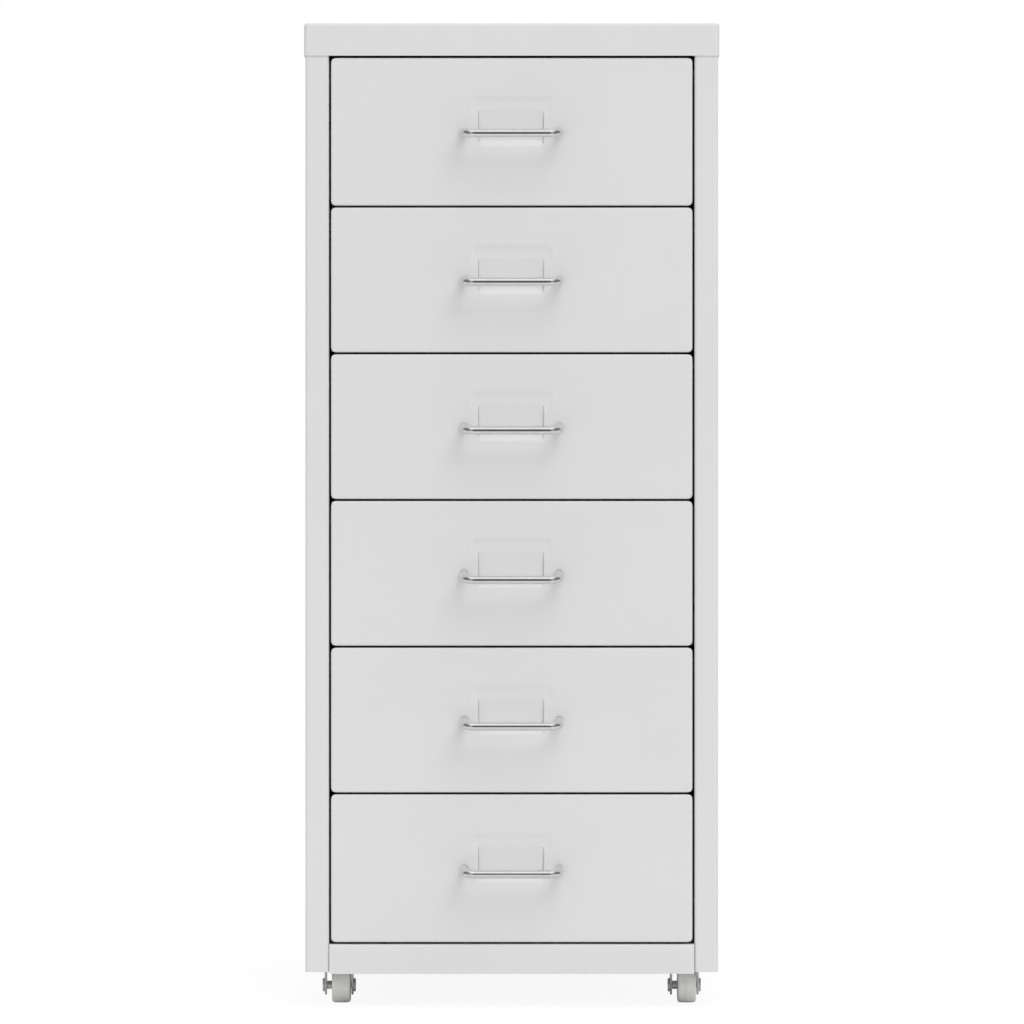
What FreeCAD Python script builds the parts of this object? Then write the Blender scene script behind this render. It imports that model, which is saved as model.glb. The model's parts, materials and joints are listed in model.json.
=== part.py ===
import FreeCAD
import Part
import math
import os

Vector = FreeCAD.Vector

# A steel drawer cabinet on four castors. Sizes are in millimetres, the front faces -Y, +Z is up,
# and the origin lies on the floor under the middle of the outer box.

# Sheet metal
SHEET = 0.8
BEND = 1.2

# Top cover and body
COVER_WIDTH = 280.0
COVER_DEPTH = 410.0
COVER_FLANGE = 22.0
COVER_FIT = 0.1
POST_WIDTH = 15.9
POST_RETURN = 12.0
REAR_FLANGE = 15.0
TOP_FLANGE = 12.0
APRON_HEIGHT = 20.0
APRON_GAP = 0.2
SIDE_LIFT = 1.2
PAN_FIT = 0.1

# Rivets of the back panel
RIVET_DIAMETER = 3.2
RIVET_HEAD = 6.4
RIVET_HEAD_HEIGHT = 0.8
RIVET_TAIL = 4.8
RIVET_TAIL_LENGTH = 1.5
RIVET_ROWS = 5
RIVET_END_INSET = 40.0
RIVET_PLAY = 0.05

# Drawers
DRAWERS = 6
DRAWER_PITCH = 98.9
END_EXTRA = 2.0
FRONT_GAP = 1.4
FRONT_RETURN = 12.0
FRONT_CORNER = 3.0
TRAY_SPACE = 18.9
TRAY_LIFT = 8.0
TRAY_BACK_ROOM = 12.0
DRAWER_TRAVEL = 300.0

# Rims of the trays, stop ears and runners
RIM_SIDE_GAP = 0.9
RIM_WIDTH = 8.0
RIM_LIP = 4.0
EAR_WIDTH = 7.5
EAR_LENGTH = 10.0
RUNNER_SHEET = 1.0
RUN_GAP = 0.3
LEDGE_GAP = 1.0
RUNNER_END_GAP = 0.5

# Label pocket pressed into each front between the handle's screws, measured from their height
POCKET_DEPTH = 1.6
POCKET_SCREW_ROOM = 10.0
POCKET_TOP = 22.4
POCKET_HEAD_HEIGHT = 8.4
POCKET_HEAD_EXTRA = 4.75
POCKET_CORNER = 3.0
POCKET_BOTTOM = 10.6
POCKET_SLOPE = 5.4
SLIT_WIDTH = 0.8
SLIT_HEAD_GAP = 0.3
SLIT_RISE = 3.4

# Wire handle and its screws
WIRE_DIAMETER = 5.5
HANDLE_CENTRES = 64.0
HANDLE_PROJECTION = 25.0
HANDLE_DROP = 2.5
HANDLE_BEND = 7.5
SCREW_DIAMETER = 3.0
SCREW_PLAY = 0.2
THREAD_PLAY = 0.05
SCREW_HEAD = 6.0
SCREW_HEAD_HEIGHT = 2.2
SCREW_ENGAGEMENT = 6.0
CROSS_WIDTH = 0.8
CROSS_LENGTH = 3.2
CROSS_DEPTH = 1.1
SCREW_SEAT = 12.0

# Castors
CASTOR_HEIGHT = 42.0
CASTOR_SIDE_INSET = 22.5
CASTOR_INSET = 35.0
CASTOR_TRAIL = 8.0
WHEEL_DIAMETER = 24.0
WHEEL_WIDTH = 12.6
WHEEL_CORNER = 1.8
WHEEL_HUB = 10.0
WHEEL_RIM = 2.6
WHEEL_RECESS = 1.6
WHEEL_PLAY = 0.05
WHEEL_SIDE_GAP = 0.6
AXLE_DIAMETER = 4.0
AXLE_HEAD = 9.0
AXLE_HEAD_HEIGHT = 1.6
AXLE_BUTTON = 9.0
AXLE_BUTTON_HEIGHT = 1.5
SPACER_DIAMETER = 5.6
SPACER_LENGTH = 3.5
SPACER_END_GAP = 0.2
FORK_SHEET = 1.2
FORK_EYE = 6.7
FORK_CROWN_EDGE = 1.3
FORK_SKIRT = 4.5
FORK_BEND = 1.0

# Swivel race of each castor
STEM_THREAD = 6.0
STEM_SHOULDER = 0.5
STEM_HEAD_RIM = 1.5
STEM_HEAD_HEIGHT = 1.5
STEM_ABOVE_NUT = 1.5
STEM_CHAMFER = 0.6
STEM_PLAY = 0.1
STEM_HEAD_GAP = 0.1
NUT_FLATS = 10.0
NUT_HEIGHT = 5.0
CAP_SHEET = 1.0
CAP_SIDE_GAP = 0.8
CAP_GAP = 0.3
BALL_DIAMETER = 2.4
BALL_CIRCLE = 16.0
BALLS = 10
BALL_PLAY = 0.05

# Small allowances of the modelling itself
OVERRUN = 1.0
TOUCH = 1e-6

# Heights that follow from the stack of castors, floor, drawers and cover
BASE_TOP = CASTOR_HEIGHT + SHEET
FRONTS_BOTTOM = BASE_TOP + FRONT_GAP
FRONTS_TOP = FRONTS_BOTTOM + DRAWERS * DRAWER_PITCH + 2 * END_EXTRA - FRONT_GAP
COVER_BOTTOM = FRONTS_TOP + FRONT_GAP
COVER_TOP = COVER_BOTTOM + COVER_FLANGE
BODY_TOP = COVER_TOP - SHEET
APRON_BOTTOM = BASE_TOP - APRON_HEIGHT
SIDE_BOTTOM = APRON_BOTTOM + SIDE_LIFT
TRAY_HEIGHT = DRAWER_PITCH - TRAY_SPACE

# Widths: half sizes measured from the middle
BODY_HALF = COVER_WIDTH / 2 - SHEET - COVER_FIT
WALL_INNER = BODY_HALF - SHEET
OPENING_HALF = BODY_HALF - POST_WIDTH
FRONT_HALF = OPENING_HALF - FRONT_GAP
RIM_HALF = OPENING_HALF - RIM_SIDE_GAP
TRAY_HALF = RIM_HALF - RIM_WIDTH
EAR_HALF = RIM_HALF + EAR_WIDTH
LEDGE_HALF = TRAY_HALF + LEDGE_GAP
OUTER_BEND = BEND + SHEET

# Depths: the handles stand in front of the cover, and the outer box is centred on the origin
WIRE_RADIUS = WIRE_DIAMETER / 2
HANDLE_PROUD = HANDLE_PROJECTION + WIRE_RADIUS - SHEET - COVER_FIT
COVER_FRONT = HANDLE_PROUD - (COVER_DEPTH + HANDLE_PROUD) / 2
COVER_BACK = COVER_FRONT + COVER_DEPTH
BODY_FRONT = COVER_FRONT + SHEET + COVER_FIT
BODY_BACK = COVER_BACK - SHEET - COVER_FIT
REAR_FACE = BODY_BACK - SHEET
PAN_BACK = REAR_FACE - SHEET
TRAY_FRONT = BODY_FRONT + POCKET_DEPTH + SHEET
TRAY_BACK = PAN_BACK - TRAY_BACK_ROOM
RUNNER_FRONT = BODY_FRONT + max(POST_RETURN, FRONT_RETURN) + RUN_GAP
RUNNER_BACK = PAN_BACK - BEND - RIVET_TAIL_LENGTH - RUNNER_END_GAP
RIM_FRONT = RUNNER_FRONT + RUN_GAP
EAR_FRONT = RUNNER_FRONT + DRAWER_TRAVEL

# Label pocket
POCKET_HALF = HANDLE_CENTRES / 2 - POCKET_SCREW_ROOM
POCKET_HEAD_HALF = POCKET_HALF + POCKET_HEAD_EXTRA
POCKET_SPLIT = POCKET_TOP - POCKET_HEAD_HEIGHT
SLIT_TOP = POCKET_SPLIT - SLIT_HEAD_GAP
SLIT_BOTTOM = POCKET_BOTTOM - SLIT_RISE

# Castor places and levels
CASTOR_X = COVER_WIDTH / 2 - CASTOR_SIDE_INSET
WHEEL_RADIUS = WHEEL_DIAMETER / 2
FORK_INNER_HALF = (WHEEL_WIDTH + WHEEL_SIDE_GAP + SPACER_LENGTH + SPACER_END_GAP) / 2
FORK_HALF = FORK_INNER_HALF + FORK_SHEET
WHEEL_OFFSET = FORK_INNER_HALF - WHEEL_SIDE_GAP - WHEEL_WIDTH / 2
CAP_UNDER = CASTOR_HEIGHT - CAP_SHEET
BALL_LEVEL = CAP_UNDER - BALL_PLAY - BALL_DIAMETER / 2
FORK_TOP = BALL_LEVEL - BALL_DIAMETER / 2 - BALL_PLAY
CAP_RIM = FORK_TOP + CAP_GAP
STEM_SEAT = FORK_TOP - FORK_SHEET - STEM_HEAD_GAP
STEM_JOURNAL = STEM_THREAD + 2 * STEM_SHOULDER
STEM_HEAD = STEM_JOURNAL + 2 * STEM_HEAD_RIM
BALL_REACH = (BALL_CIRCLE + BALL_DIAMETER) / 2
CAP_RADIUS = BALL_REACH + CAP_SIDE_GAP + CAP_SHEET
FORK_CROWN = BALL_REACH + FORK_CROWN_EDGE

PLANES = {
    "XY": lambda u, v: Vector(u, v, 0),
    "XZ": lambda u, v: Vector(u, 0, v),
    "YZ": lambda u, v: Vector(0, u, v),
}


# Building blocks

def box(low, high):
    """A block between two corners."""
    sides = [end - start for start, end in zip(low, high)]
    return Part.makeBox(sides[0], sides[1], sides[2], Vector(*low))


def rod(radius, start, end):
    """A round bar between two points."""
    run = end - start
    return Part.makeCylinder(radius, run.Length, start, run)


def mirrored(shape):
    """The same piece on the other side of the cabinet."""
    return shape.mirror(Vector(0, 0, 0), Vector(1, 0, 0))


def prism(face, direction, start, end):
    """A face pulled along a direction from one distance to another."""
    return face.translated(direction * start).extrude(direction * (end - start))


def rounded_face(points, radii, plane):
    """A flat face with straight sides and a round of its own radius at each corner."""
    corners = [PLANES[plane](u, v) for u, v in points]
    count = len(corners)
    starts = []
    ends = []
    arcs = []
    for index, corner in enumerate(corners):
        before = (corners[index - 1] - corner).normalize()
        after = (corners[(index + 1) % count] - corner).normalize()
        half = before.getAngle(after) / 2
        radius = radii[index]
        reach = radius / math.tan(half)
        starts.append(corner + before * reach)
        ends.append(corner + after * reach)
        if radius > 0:
            middle = corner + (before + after).normalize() * (radius / math.sin(half) - radius)
            arcs.append(Part.Arc(starts[-1], middle, ends[-1]).toShape())
        else:
            arcs.append(None)
    edges = []
    for index in range(count):
        if arcs[index] is not None:
            edges.append(arcs[index])
        goal = starts[(index + 1) % count]
        if (goal - ends[index]).Length > TOUCH:
            edges.append(Part.LineSegment(ends[index], goal).toShape())
    return Part.Face(Part.Wire(Part.__sortEdges__(edges)))


def polygon(points, plane):
    """A flat face with sharp corners."""
    return rounded_face(points, [0] * len(points), plane)


def folded(path, thickness, bend, plane):
    """The section of a folded sheet: the path is one of its faces, with the metal on its left."""
    normals = []
    for (u0, v0), (u1, v1) in zip(path, path[1:]):
        length = math.hypot(u1 - u0, v1 - v0)
        normals.append(((v0 - v1) / length, (u1 - u0) / length))
    other = [(path[0][0] + normals[0][0] * thickness, path[0][1] + normals[0][1] * thickness)]
    near_radii = [0]
    far_radii = [0]
    for (u, v), (a, b), (c, d) in zip(path[1:-1], normals, normals[1:]):
        mitre = thickness / (1 + a * c + b * d)
        other.append((u + (a + c) * mitre, v + (b + d) * mitre))
        turns_left = a * d - b * c > 0
        near_radii.append(bend + thickness if turns_left else bend)
        far_radii.append(bend if turns_left else bend + thickness)
    other.append((path[-1][0] + normals[-1][0] * thickness, path[-1][1] + normals[-1][1] * thickness))
    near_radii.append(0)
    far_radii.append(0)
    return rounded_face(list(path) + other[::-1], near_radii + far_radii[::-1], plane)


def rounded_block(low, high, corner, edge, axis, level):
    """A block with round corners along one axis and a round edge about the face at one level."""
    block = box(low, high)
    corner_edges = []
    for candidate in block.Edges:
        run = candidate.Vertexes[1].Point - candidate.Vertexes[0].Point
        if abs(getattr(run, axis)) > TOUCH:
            corner_edges.append(candidate)
    block = block.makeFillet(corner, corner_edges)
    rim = []
    for candidate in block.Edges:
        if all(abs(getattr(vertex.Point, axis) - level) < TOUCH for vertex in candidate.Vertexes):
            rim.append(candidate)
    return block.makeFillet(edge, rim)


def tangent_angle(point, centre, radius, side):
    """The angle on a circle where a line from a point outside touches it."""
    away_u = point[0] - centre[0]
    away_v = point[1] - centre[1]
    return math.atan2(away_v, away_u) + side * math.acos(radius / math.hypot(away_u, away_v))


def on_circle(centre, radius, angle):
    """A point of a circle."""
    return centre[0] + radius * math.cos(angle), centre[1] + radius * math.sin(angle)


# Cabinet

def top_cover():
    """The folded lid: a shallow pan that opens downwards and slips over the body."""
    corner = OUTER_BEND + COVER_FIT + SHEET
    shell = rounded_block(
        (-COVER_WIDTH / 2, COVER_FRONT, COVER_BOTTOM),
        (COVER_WIDTH / 2, COVER_BACK, COVER_TOP),
        corner, OUTER_BEND, "z", COVER_TOP)
    hollow = rounded_block(
        (-COVER_WIDTH / 2 + SHEET, COVER_FRONT + SHEET, COVER_BOTTOM - OVERRUN),
        (COVER_WIDTH / 2 - SHEET, COVER_BACK - SHEET, BODY_TOP),
        corner - SHEET, BEND, "z", BODY_TOP)
    return shell.cut(hollow)


def rivet_places():
    """The places of the back rivets, at the outer face of the back panel."""
    side = BODY_HALF - REAR_FLANGE / 2
    bottom = SIDE_BOTTOM + RIVET_END_INSET
    step = (COVER_BOTTOM - RIVET_END_INSET - bottom) / (RIVET_ROWS - 1)
    return [Vector(x, BODY_BACK, bottom + row * step) for x in (-side, side) for row in range(RIVET_ROWS)]


def rivet_holes():
    """The holes for the back rivets, through back panel and rear flanges."""
    radius = RIVET_DIAMETER / 2 + RIVET_PLAY
    reach = Vector(0, 2 * SHEET + OVERRUN, 0)
    return [rod(radius, place + Vector(0, OVERRUN, 0), place - reach) for place in rivet_places()]


def side_panel():
    """The left side: front post with its return, wall, rear flange and top flange."""
    section = folded([
        (-BODY_HALF + REAR_FLANGE, REAR_FACE),
        (-BODY_HALF, REAR_FACE),
        (-BODY_HALF, BODY_FRONT),
        (-OPENING_HALF, BODY_FRONT),
        (-OPENING_HALF, BODY_FRONT + POST_RETURN),
    ], SHEET, BEND, "XY")
    panel = prism(section, Vector(0, 0, 1), SIDE_BOTTOM, BODY_TOP)
    shelf = box(
        (-BODY_HALF + SHEET / 2, BODY_FRONT + POST_RETURN, BODY_TOP - SHEET),
        (-BODY_HALF + TOP_FLANGE, PAN_BACK - OUTER_BEND, BODY_TOP))
    under_cover = rounded_block(
        (-BODY_HALF, BODY_FRONT, SIDE_BOTTOM - OVERRUN),
        (BODY_HALF, BODY_BACK, BODY_TOP),
        OUTER_BEND, BEND, "z", BODY_TOP)
    panel = panel.fuse(shelf).common(under_cover)
    return panel.cut(rivet_holes()).removeSplitter()


def back_panel():
    """The flat sheet on the rear flanges."""
    half = BODY_HALF - OUTER_BEND
    sheet = box((-half, REAR_FACE, SIDE_BOTTOM), (half, BODY_BACK, BODY_TOP - OUTER_BEND))
    return sheet.cut(rivet_holes())


def back_rivets():
    """Blind rivets with a low domed head outside and a set tail inside."""
    dome_radius = ((RIVET_HEAD / 2) ** 2 + RIVET_HEAD_HEIGHT ** 2) / (2 * RIVET_HEAD_HEIGHT)
    rivets = []
    for place in rivet_places():
        inside = place - Vector(0, 2 * SHEET, 0)
        shank = rod(RIVET_DIAMETER / 2, place, inside)
        tail = rod(RIVET_TAIL / 2, inside, inside - Vector(0, RIVET_TAIL_LENGTH, 0))
        ball = Part.makeSphere(dome_radius, place + Vector(0, RIVET_HEAD_HEIGHT - dome_radius, 0))
        head = ball.common(rod(RIVET_HEAD, place, place + Vector(0, RIVET_HEAD, 0)))
        rivets.append(head.fuse([shank, tail]).removeSplitter())
    return Part.makeCompound(rivets)


def base_pan():
    """The floor of the cabinet: the front apron between the posts, and flanges turned down."""
    middle_half = OPENING_HALF - APRON_GAP
    side_half = WALL_INNER - PAN_FIT
    middle = prism(folded([
        (PAN_BACK, SIDE_BOTTOM),
        (PAN_BACK, BASE_TOP),
        (BODY_FRONT, BASE_TOP),
        (BODY_FRONT, APRON_BOTTOM),
    ], SHEET, BEND, "YZ"), Vector(1, 0, 0), -middle_half, middle_half)
    side = prism(folded([
        (side_half, SIDE_BOTTOM),
        (side_half, BASE_TOP),
        (middle_half - OVERRUN, BASE_TOP),
    ], SHEET, BEND, "XZ"), Vector(0, 1, 0), RUNNER_FRONT, PAN_BACK - OUTER_BEND)
    pan = middle.fuse([side, mirrored(side)])
    radius = STEM_THREAD / 2 + STEM_PLAY
    drop = Vector(0, 0, BASE_TOP + OVERRUN)
    holes = [rod(radius, place, place + drop) for place in castor_places().values()]
    return pan.cut(holes).removeSplitter()


# Drawers

def drawer_bottom(index):
    """The lower edge of a drawer front; drawer 1 is at the top."""
    extra = 0 if index == DRAWERS else END_EXTRA
    return FRONTS_BOTTOM + (DRAWERS - index) * DRAWER_PITCH + extra


def drawer_top(index):
    """The upper edge of a drawer front. The first and the last front are a little taller."""
    extra = 2 * END_EXTRA if index == 1 else END_EXTRA
    return FRONTS_BOTTOM + (DRAWERS - index + 1) * DRAWER_PITCH - FRONT_GAP + extra


def handle_level(index):
    """The height of a handle's screws, half way up its front."""
    return (drawer_bottom(index) + drawer_top(index)) / 2


def tray_bottom(index):
    """The underside of a tray. The trays sit alike behind the fronts' middles."""
    return handle_level(index) - (DRAWER_PITCH - FRONT_GAP) / 2 + TRAY_LIFT


def pocket(level, grow):
    """The space of the label pocket, or with the sheet's thickness added, its metal and space."""
    turn = math.atan(POCKET_DEPTH / POCKET_SLOPE)
    shift = grow * math.tan(turn / 2)
    near = BODY_FRONT if grow else BODY_FRONT - OVERRUN
    far = BODY_FRONT + POCKET_DEPTH + grow
    split = level + POCKET_SPLIT
    half_head = POCKET_HEAD_HALF + grow
    head = prism(rounded_face([
        (-half_head, split - grow),
        (half_head, split - grow),
        (half_head, level + POCKET_TOP + grow),
        (-half_head, level + POCKET_TOP + grow),
    ], [POCKET_CORNER + grow] * 4, "XZ"), Vector(0, 1, 0), near, far)
    bottom = level - POCKET_BOTTOM
    half = POCKET_HALF + grow
    tail = prism(polygon([
        (near, bottom - shift),
        (BODY_FRONT + grow, bottom - shift),
        (far, bottom + POCKET_SLOPE - shift),
        (far, split + POCKET_CORNER),
        (near, split + POCKET_CORNER),
    ], "YZ"), Vector(1, 0, 0), -half, half)
    return head.fuse(tail)


def pocket_slits(level):
    """The two lanced slits at the sides of the pocket, where a label slips under the face."""
    slit = box(
        (POCKET_HALF, BODY_FRONT - OVERRUN, level - SLIT_BOTTOM),
        (POCKET_HALF + SLIT_WIDTH, BODY_FRONT + POCKET_DEPTH, level + SLIT_TOP))
    return [slit, mirrored(slit)]


def screw_places(level):
    """The two handle screws of a drawer, at the face of its front."""
    return [Vector(side * HANDLE_CENTRES / 2, BODY_FRONT, level) for side in (-1, 1)]


def screw_holes(level):
    """The holes for the handle screws, through front and tray."""
    radius = SCREW_DIAMETER / 2 + SCREW_PLAY
    near = Vector(0, -OVERRUN, 0)
    far = Vector(0, TRAY_FRONT - BODY_FRONT + SHEET + OVERRUN, 0)
    return [rod(radius, place + near, place + far) for place in screw_places(level)]


def drawer_front(index):
    """A folded front with its pressed label pocket."""
    level = handle_level(index)
    bottom = drawer_bottom(index)
    top = drawer_top(index)
    skin = rounded_block(
        (-FRONT_HALF, BODY_FRONT, bottom),
        (FRONT_HALF, BODY_FRONT + FRONT_RETURN, top),
        FRONT_CORNER, OUTER_BEND, "y", BODY_FRONT)
    hollow = rounded_block(
        (-FRONT_HALF + SHEET, BODY_FRONT + SHEET, bottom + SHEET),
        (FRONT_HALF - SHEET, BODY_FRONT + FRONT_RETURN + OVERRUN, top - SHEET),
        FRONT_CORNER - SHEET, BEND, "y", BODY_FRONT + SHEET)
    pan = skin.cut(hollow).fuse(pocket(level, SHEET))
    cuts = [pocket(level, 0)] + pocket_slits(level) + screw_holes(level)
    return pan.cut(cuts).removeSplitter()


def drawer_tray(index):
    """A folded tray. Its rims run in the runners, and its ears meet the post returns when open."""
    level = handle_level(index)
    bottom = tray_bottom(index)
    top = bottom + TRAY_HEIGHT
    inner = TRAY_HALF - SHEET
    trough = [(inner, top), (inner, bottom + SHEET), (-inner, bottom + SHEET), (-inner, top)]
    rimmed = [(RIM_HALF, top - RIM_LIP), (RIM_HALF, top)] + trough + [
        (-RIM_HALF, top), (-RIM_HALF, top - RIM_LIP)]
    along = Vector(0, 1, 0)
    tray = prism(folded(trough, SHEET, BEND, "XZ"), along, TRAY_FRONT, RIM_FRONT)
    parts = [prism(folded(rimmed, SHEET, BEND, "XZ"), along, RIM_FRONT, TRAY_BACK)]
    wall_outline = rounded_face([
        (TRAY_HALF, top), (TRAY_HALF, bottom), (-TRAY_HALF, bottom), (-TRAY_HALF, top),
    ], [0, OUTER_BEND, OUTER_BEND, 0], "XZ")
    parts.append(prism(wall_outline, along, TRAY_FRONT, TRAY_FRONT + SHEET))
    parts.append(prism(wall_outline, along, TRAY_BACK - SHEET, TRAY_BACK))
    ear = box(
        (RIM_HALF - OUTER_BEND, EAR_FRONT, top - SHEET),
        (EAR_HALF, EAR_FRONT + EAR_LENGTH, top))
    parts += [ear, mirrored(ear)]
    for place in screw_places(level):
        parts.append(rod(SCREW_SEAT / 2, place + along * SHEET, place + along * (TRAY_FRONT - BODY_FRONT)))
    return tray.fuse(parts).cut(screw_holes(level)).removeSplitter()


def runner(index):
    """The right-hand runner of a drawer: a C-shaped channel on the wall, open to the tray's rim."""
    top = tray_bottom(index) + TRAY_HEIGHT
    low = top - RIM_LIP - RUN_GAP - RUNNER_SHEET
    high = top + RUN_GAP + RUNNER_SHEET
    section = folded([
        (LEDGE_HALF, low), (WALL_INNER, low), (WALL_INNER, high), (LEDGE_HALF, high),
    ], RUNNER_SHEET, BEND, "XZ")
    return prism(section, Vector(0, 1, 0), RUNNER_FRONT, RUNNER_BACK)


def handle(index):
    """A wire bent to a flat loop that leans down a little, tapped at both ends."""
    level = handle_level(index)
    half = HANDLE_CENTRES / 2
    lean = math.atan2(HANDLE_DROP, HANDLE_PROJECTION)
    reach = math.hypot(HANDLE_DROP, HANDLE_PROJECTION)
    corner = HANDLE_BEND * (1 - math.sqrt(0.5))
    points = [
        (-half, OVERRUN), (-half, HANDLE_BEND - reach), (corner - half, corner - reach),
        (HANDLE_BEND - half, -reach), (half - HANDLE_BEND, -reach), (half - corner, corner - reach),
        (half, HANDLE_BEND - reach), (half, OVERRUN),
    ]
    bends = [Vector(x, BODY_FRONT + y, level) for x, y in points]
    route = Part.Wire([
        Part.LineSegment(bends[0], bends[1]).toShape(),
        Part.Arc(bends[1], bends[2], bends[3]).toShape(),
        Part.LineSegment(bends[3], bends[4]).toShape(),
        Part.Arc(bends[4], bends[5], bends[6]).toShape(),
        Part.LineSegment(bends[6], bends[7]).toShape(),
    ])
    section = Part.Wire(Part.makeCircle(WIRE_RADIUS, bends[0], Vector(0, 1, 0)))
    loop = route.makePipeShell([section], True, False)
    loop.rotate(Vector(0, BODY_FRONT, level), Vector(1, 0, 0), math.degrees(lean))
    room = COVER_WIDTH / 2
    behind = box(
        (-room, BODY_FRONT, level - room),
        (room, BODY_FRONT + HANDLE_PROJECTION, level + room))
    radius = SCREW_DIAMETER / 2 + THREAD_PLAY
    depth = Vector(0, SCREW_ENGAGEMENT + OVERRUN, 0)
    bores = [rod(radius, place + Vector(0, OVERRUN, 0), place - depth) for place in screw_places(level)]
    return loop.cut([behind] + bores)


def handle_screws(index):
    """Two pan head screws with a cross recess, driven from inside the tray."""
    screws = []
    for place in screw_places(handle_level(index)):
        seat = Vector(place.x, TRAY_FRONT + SHEET, place.z)
        crown = seat + Vector(0, SCREW_HEAD_HEIGHT, 0)
        shank = rod(SCREW_DIAMETER / 2, seat, place - Vector(0, SCREW_ENGAGEMENT, 0))
        head = rod(SCREW_HEAD / 2, seat, crown)
        rim = [edge for edge in head.Edges if abs(edge.CenterOfMass.y - crown.y) < TOUCH]
        head = head.makeFillet(SCREW_HEAD_HEIGHT / 2, rim)
        long_half = CROSS_LENGTH / 2
        short_half = CROSS_WIDTH / 2
        floor = crown.y - CROSS_DEPTH
        slots = []
        for across, up in ((long_half, short_half), (short_half, long_half)):
            slots.append(box(
                (place.x - across, floor, place.z - up),
                (place.x + across, crown.y + OVERRUN, place.z + up)))
        screws.append(head.fuse(shank).cut(slots).removeSplitter())
    return Part.makeCompound(screws)


# Castors. Each piece is made about the kingpin's line and then moved to its place.

def castor_places():
    """The kingpins' places on the floor plan."""
    rows = {"front": BODY_FRONT + CASTOR_INSET, "rear": BODY_BACK - CASTOR_INSET}
    columns = {"left": -CASTOR_X, "right": CASTOR_X}
    return {
        row + "_" + column: Vector(x, y, 0)
        for row, y in rows.items() for column, x in columns.items()
    }


def fork():
    """A pressed fork: a crown under the balls, and two cheeks that lean back to the axle."""
    bottom = WHEEL_RADIUS - FORK_EYE
    channel = prism(folded([
        (FORK_HALF, bottom), (FORK_HALF, FORK_TOP), (-FORK_HALF, FORK_TOP), (-FORK_HALF, bottom),
    ], FORK_SHEET, FORK_BEND, "XZ"), Vector(0, 1, 0), -FORK_CROWN - OVERRUN, CASTOR_TRAIL + FORK_EYE + OVERRUN)
    skirt = FORK_TOP - FORK_SKIRT
    eye = (CASTOR_TRAIL, WHEEL_RADIUS)
    front_angle = tangent_angle((-FORK_CROWN, skirt), eye, FORK_EYE, 1)
    rear_angle = tangent_angle((FORK_CROWN, skirt), eye, FORK_EYE, -1)
    under_angle = (front_angle + rear_angle) / 2 + math.pi
    place = PLANES["YZ"]
    outline = [
        place(*on_circle(eye, FORK_EYE, rear_angle)), place(FORK_CROWN, skirt),
        place(FORK_CROWN, FORK_TOP), place(-FORK_CROWN, FORK_TOP),
        place(-FORK_CROWN, skirt), place(*on_circle(eye, FORK_EYE, front_angle)),
    ]
    edges = [Part.LineSegment(a, b).toShape() for a, b in zip(outline, outline[1:])]
    edges.append(Part.Arc(
        outline[-1], place(*on_circle(eye, FORK_EYE, under_angle)), outline[0]).toShape())
    profile = prism(Part.Face(Part.Wire(edges)), Vector(1, 0, 0), -FORK_HALF, FORK_HALF)
    axle_line = Vector(0, CASTOR_TRAIL, WHEEL_RADIUS)
    across = Vector(FORK_HALF + OVERRUN, 0, 0)
    axle_hole = rod(AXLE_DIAMETER / 2, axle_line - across, axle_line + across)
    pin_hole = rod(
        STEM_JOURNAL / 2 + STEM_PLAY,
        Vector(0, 0, FORK_TOP + OVERRUN), Vector(0, 0, STEM_SEAT - OVERRUN))
    return channel.common(profile).cut([axle_hole, pin_hole])


def axle(head_side):
    """A riveted pin with a wide flat head on one side and a small button on the other."""
    centre = Vector(0, CASTOR_TRAIL, WHEEL_RADIUS)
    out = Vector(head_side, 0, 0)
    head_face = centre + out * FORK_HALF
    button_face = centre - out * FORK_HALF
    pin = rod(AXLE_DIAMETER / 2, head_face, button_face)
    head = rod(AXLE_HEAD / 2, head_face, head_face + out * AXLE_HEAD_HEIGHT)
    button = rod(AXLE_BUTTON / 2, button_face, button_face - out * AXLE_BUTTON_HEIGHT)
    return pin.fuse([head, button]).removeSplitter()


def spacer():
    """The tube between the left cheek and the wheel."""
    start = Vector(-FORK_INNER_HALF, CASTOR_TRAIL, WHEEL_RADIUS)
    end = start + Vector(SPACER_LENGTH, 0, 0)
    return rod(SPACER_DIAMETER / 2, start, end).cut(rod(AXLE_DIAMETER / 2 + WHEEL_PLAY, start, end))


def wheel():
    """A solid wheel with round tread corners and a shallow ring recess on both sides."""
    half = WHEEL_WIDTH / 2
    bore = AXLE_DIAMETER / 2 + WHEEL_PLAY
    hub = WHEEL_HUB / 2
    rim = WHEEL_RADIUS - WHEEL_RIM
    floor = half - WHEEL_RECESS
    points = [
        (-half, bore), (-half, hub), (-floor, hub), (-floor, rim), (-half, rim), (-half, WHEEL_RADIUS),
        (half, WHEEL_RADIUS), (half, rim), (floor, rim), (floor, hub), (half, hub), (half, bore),
    ]
    radii = [0, 0, 0, 0, 0, WHEEL_CORNER, WHEEL_CORNER, 0, 0, 0, 0, 0]
    body = rounded_face(points, radii, "XY").revolve(Vector(0, 0, 0), Vector(1, 0, 0), 360)
    return body.translated(Vector(WHEEL_OFFSET, CASTOR_TRAIL, WHEEL_RADIUS))


def stem():
    """The kingpin: head under the fork, journal through it, and a thread up through the floor."""
    top = BASE_TOP + NUT_HEIGHT + STEM_ABOVE_NUT
    head = STEM_HEAD / 2
    journal = STEM_JOURNAL / 2
    thread = STEM_THREAD / 2
    outline = polygon([
        (0, STEM_SEAT - STEM_HEAD_HEIGHT), (head, STEM_SEAT - STEM_HEAD_HEIGHT), (head, STEM_SEAT),
        (journal, STEM_SEAT), (journal, CAP_UNDER), (thread, CAP_UNDER),
        (thread, top - STEM_CHAMFER), (thread - STEM_CHAMFER, top), (0, top),
    ], "XZ")
    return outline.revolve(Vector(0, 0, 0), Vector(0, 0, 1), 360)


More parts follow.
